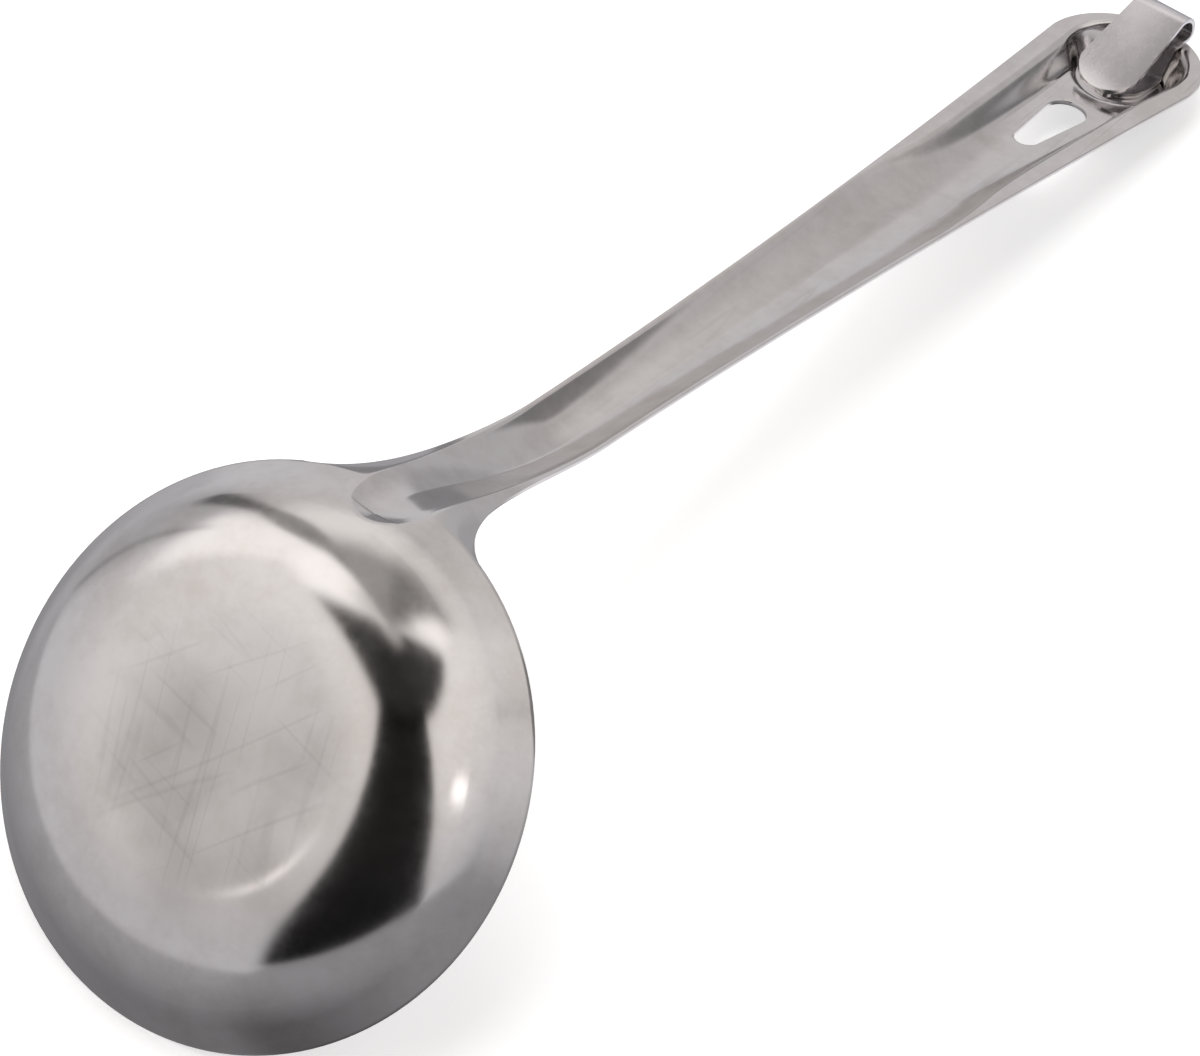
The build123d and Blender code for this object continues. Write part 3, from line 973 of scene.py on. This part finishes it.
class Sky(NodeTree):
    """The studio's light, painted by direction in degrees: turn to the camera's right, and height."""

    ground_edge = -13.0
    near_edge_lift = 15.0
    far_edge_lift = 8.0
    ground_near = Patch(-35, 75, 14)
    ground_pale = Patch(84, 150, 12, fade=(-44, -32))
    ground_left = Patch(-174, -138, 6, rise=(-40, -20))
    soft_edge = Patch(48, 125, 10)
    wall_foot = Patch(-164, -130, 4, fade=(17, 26))
    window = Patch(-150, -116, 7, rise=(20, 32))
    side_shade = Patch(50, 60, 38, fade=(0, 26))
    post = Patch(-139.5, -137, 1.5, fade=(25, 36))
    strip_lights = (
        Patch(-150, -98, 6, (57, 63), (72, 80)),
        Patch(96, 120, 8, (57, 63), (72, 80)),
    )
    strip_level = 1.4
    curtain_left = -158.5
    curtain_right = -152.5
    screen_left = -38.0
    screen_right = 24.0
    screen_top = (64.0, 68.0)
    stand = Patch(88, 115, 2)
    stand_middle = 14.0
    stand_half = 17.0
    spots = (Spot(46, 33, 7, 1.3), Spot(-58, 31, 4.5, 1.2))
    spot_stretch = 0.85
    spot_core = 0.2
    low_tint = (0.965, 0.955, 1.0)
    high_tint = (1.0, 0.965, 0.945)
    tint_heights = (-12.0, 50.0)

    def __init__(self, tree: bpy.types.NodeTree, front: Vector) -> None:
        """Start a world's tree; front runs towards the camera."""
        super().__init__(tree)
        self.way = self.node("ShaderNodeTexCoord").outputs["Generated"]
        ahead = Vector((front.x, front.y, 0)).normalized()
        self.turn = self.along(Vector((-ahead.y, ahead.x, 0))).arc_tangent(self.along(ahead))
        self.high = self.along(Vector((0, 0, 1))).arc_sine()
        self.away = self.turn.size()

    def along(self, axis: Vector) -> Value:
        """Return how far the direction runs along an axis."""
        inputs = {0: self.way, 1: tuple(axis)}
        return self.value("ShaderNodeVectorMath", {"operation": "DOT_PRODUCT"}, inputs, "Value")

    def between(self, left: Value | float, right: Value | float, soft: float) -> Value:
        """Return 1 between two turns and 0 outside."""
        return (self.turn - left).step(-soft, soft) * (right - self.turn).step(-soft, soft)

    def share(self, patch: Patch) -> Value:
        """Return 1 on a patch and 0 off it."""
        share = self.between(patch.left, patch.right, patch.soft)
        if patch.rise:
            share = share * self.high.step(*patch.rise)
        if patch.fade:
            share = share * self.high.fall(*patch.fade)
        return share

    def above_ground(self) -> Value:
        """Return 1 on the walls and 0 on the ground, whose edge stands higher in front and behind."""
        over = self.high - self.ground_edge - self.turn.step(-32, -20) * self.near_edge_lift
        over = over - self.turn.fall(-176, -168) * self.far_edge_lift
        return over.step(-1.5, 1.5).toned(self.share(self.soft_edge), over.step(-16, 12))

    def ground(self) -> Value:
        """Return the level of the ground, which is darker near the camera and at the far right."""
        level = 0.22 + self.high.step(-62, -12) * 0.25
        level = level - self.share(self.ground_near) * 0.10 - self.turn.step(166, 172) * 0.17
        return level + self.share(self.ground_pale) * 0.8 + self.share(self.ground_left) * 0.08

    def walls(self) -> Value:
        """Return the level of the walls: pale sides, a darker rear, a window and the curtain beside it."""
        high, turn = self.high, self.turn
        rear = 0.58 + self.away.step(154, 164) * 0.15 + high.step(27, 41) * 0.30 - high.step(46, 64) * 0.62
        behind = turn.step(108, 122) + turn.fall(-142, -128)
        level = (0.72 + high.step(0, 58) * 0.33).toned(behind, rear)
        level = level.dimmed(self.share(self.wall_foot), 0.10)
        level = level.toned(self.share(self.window), 1.27 - high.step(70, 80) * 0.45)
        spread = high.step(30, 50) * 5.0
        curtain = self.between(self.curtain_left - spread, self.curtain_right + spread, 1.3)
        curtain = curtain * high.step(3, 10) * high.fall(53, 62)
        return level.dimmed(curtain, 0.78 - high.step(18, 44) * 0.14)

    def screened(self, level: Value) -> Value:
        """Return a level behind the dark roof, the dark screen in front and the stand on the right."""
        high, turn = self.high, self.turn
        roof = high.step(60, 65) * (1 - high.step(83, 87) * 0.6) * self.away.fall(84, 98)
        level = level.dimmed(roof, 0.97)
        left = self.screen_left + (45 - high).at_least(0.0) * 0.17
        screen = self.between(left, self.screen_right + high * 0.09, 1.8)
        screen = screen * (high + 2 - turn * 0.2).step(-1.5, 1.5) * high.fall(*self.screen_top)
        level = level.dimmed(screen, 0.985)
        stand_share = ((high - self.stand_middle) / self.stand_half).size().fall(0.6, 1.0)
        return level.dimmed(self.share(self.stand) * stand_share, 0.66)

    def level(self) -> Value:
        """Return the light's strength in every direction."""
        above = self.above_ground()
        level = self.ground().toned(above, self.walls())
        level = level.dimmed(self.share(self.side_shade), 0.40)
        level = level.dimmed(self.share(self.post) * above, 0.5)
        lights = sum(self.share(patch) for patch in self.strip_lights)
        level = self.screened(level.toned(lights, self.strip_level))
        for spot in self.spots:
            far = ((self.turn - spot.turn) * self.spot_stretch) ** 2 + (self.high - spot.high) ** 2
            level = level + (far**0.5).fall(spot.radius * self.spot_core, spot.radius) * spot.gain
        return level

    def build(self) -> None:
        """Show the studio in reflections and plain white to the camera."""
        tint = self.mixed(self.high.step(*self.tint_heights), self.low_tint, self.high_tint)
        light = {"Color": self.scaled(tint, self.level()), "Strength": 1.0}
        studio = self.node("ShaderNodeBackground", None, light).outputs[0]
        white = self.node("ShaderNodeBackground", None, {"Color": (1, 1, 1, 1), "Strength": 1.0}).outputs[0]
        seen = self.node("ShaderNodeLightPath").outputs["Is Camera Ray"]
        both = self.node("ShaderNodeMixShader", None, {0: seen, 1: studio, 2: white}).outputs[0]
        self.node("ShaderNodeOutputWorld", None, {"Surface": both})


class Studio:
    """Camera, floor, sky and lamp. The camera's place and directions are in the rim frame."""

    camera_place = (161.4, -493.4, 1002.2)
    camera_up = (0.8808, 0.4585, 0.1181)
    camera_back = (0.0956, -0.4165, 0.9041)
    lens = 225.0
    sensor = 36.0
    clip = (0.01, 50.0)
    floor_half = 3.0
    lamp_place = (0.0, 0.1, 1.3)
    lamp_size = (0.9, 0.6)
    lamp_watts = 5.0

    def camera(self) -> None:
        """Make the camera at the photograph's angle."""
        data = bpy.data.cameras.new("camera")
        data.lens, data.sensor_width, data.sensor_fit = self.lens, self.sensor, "HORIZONTAL"
        data.clip_start, data.clip_end = self.clip
        made = add_data("camera", data)
        made.location = LIE.place(*self.camera_place)
        back = LIE.turn(*self.camera_back).normalized()
        right = LIE.turn(*self.camera_up).cross(back).normalized()
        up = back.cross(right)
        made.rotation_mode = "QUATERNION"
        made.rotation_quaternion = Matrix((right, up, back)).transposed().to_quaternion()
        bpy.context.scene.camera = made

    def floor(self) -> None:
        """Make the floor under the ladle."""
        h = self.floor_half
        corners = [Vector((x, y, 0.0)) for x, y in ((-h, -h), (h, -h), (h, h), (-h, h))]
        made = add_object("floor", corners, [(0, 1, 2, 3)])
        made.data.materials.append(PaleFloor().build())
        made.visible_glossy = False

    def sky(self) -> None:
        """Paint the soft studio round the ladle."""
        world = bpy.data.worlds.new("studio")
        bpy.context.scene.world = world
        world.use_nodes = True
        Sky(world.node_tree, LIE.turn(*self.camera_back)).build()

    def lamp(self) -> None:
        """Hang the soft lamp over the ladle."""
        data = bpy.data.lights.new("soft_top", "AREA")
        data.shape, data.energy = "RECTANGLE", self.lamp_watts
        data.size, data.size_y = self.lamp_size
        made = add_data("soft_top", data)
        made.location = self.lamp_place
        made.visible_glossy = False

    def build(self) -> None:
        """Set the whole studio up."""
        self.camera()
        self.floor()
        self.sky()
        self.lamp()
        bpy.context.scene.view_settings.view_transform = "Standard"


def main() -> None:
    """Build the studio and the ladle's pieces in order."""
    Studio().build()
    polished, satin = PolishedSteel().build(), SatinSteel().build()
    sheet = LadleBody()
    sheet.build(polished)
    PanHook(sheet).build(satin)
    WeldMarks().build(sheet, satin)
    for thing in bpy.data.objects:
        if thing.name.startswith("spot_welds") and thing.type == "MESH":
            paint(thing, satin)


if __name__ == "__main__":
    main()
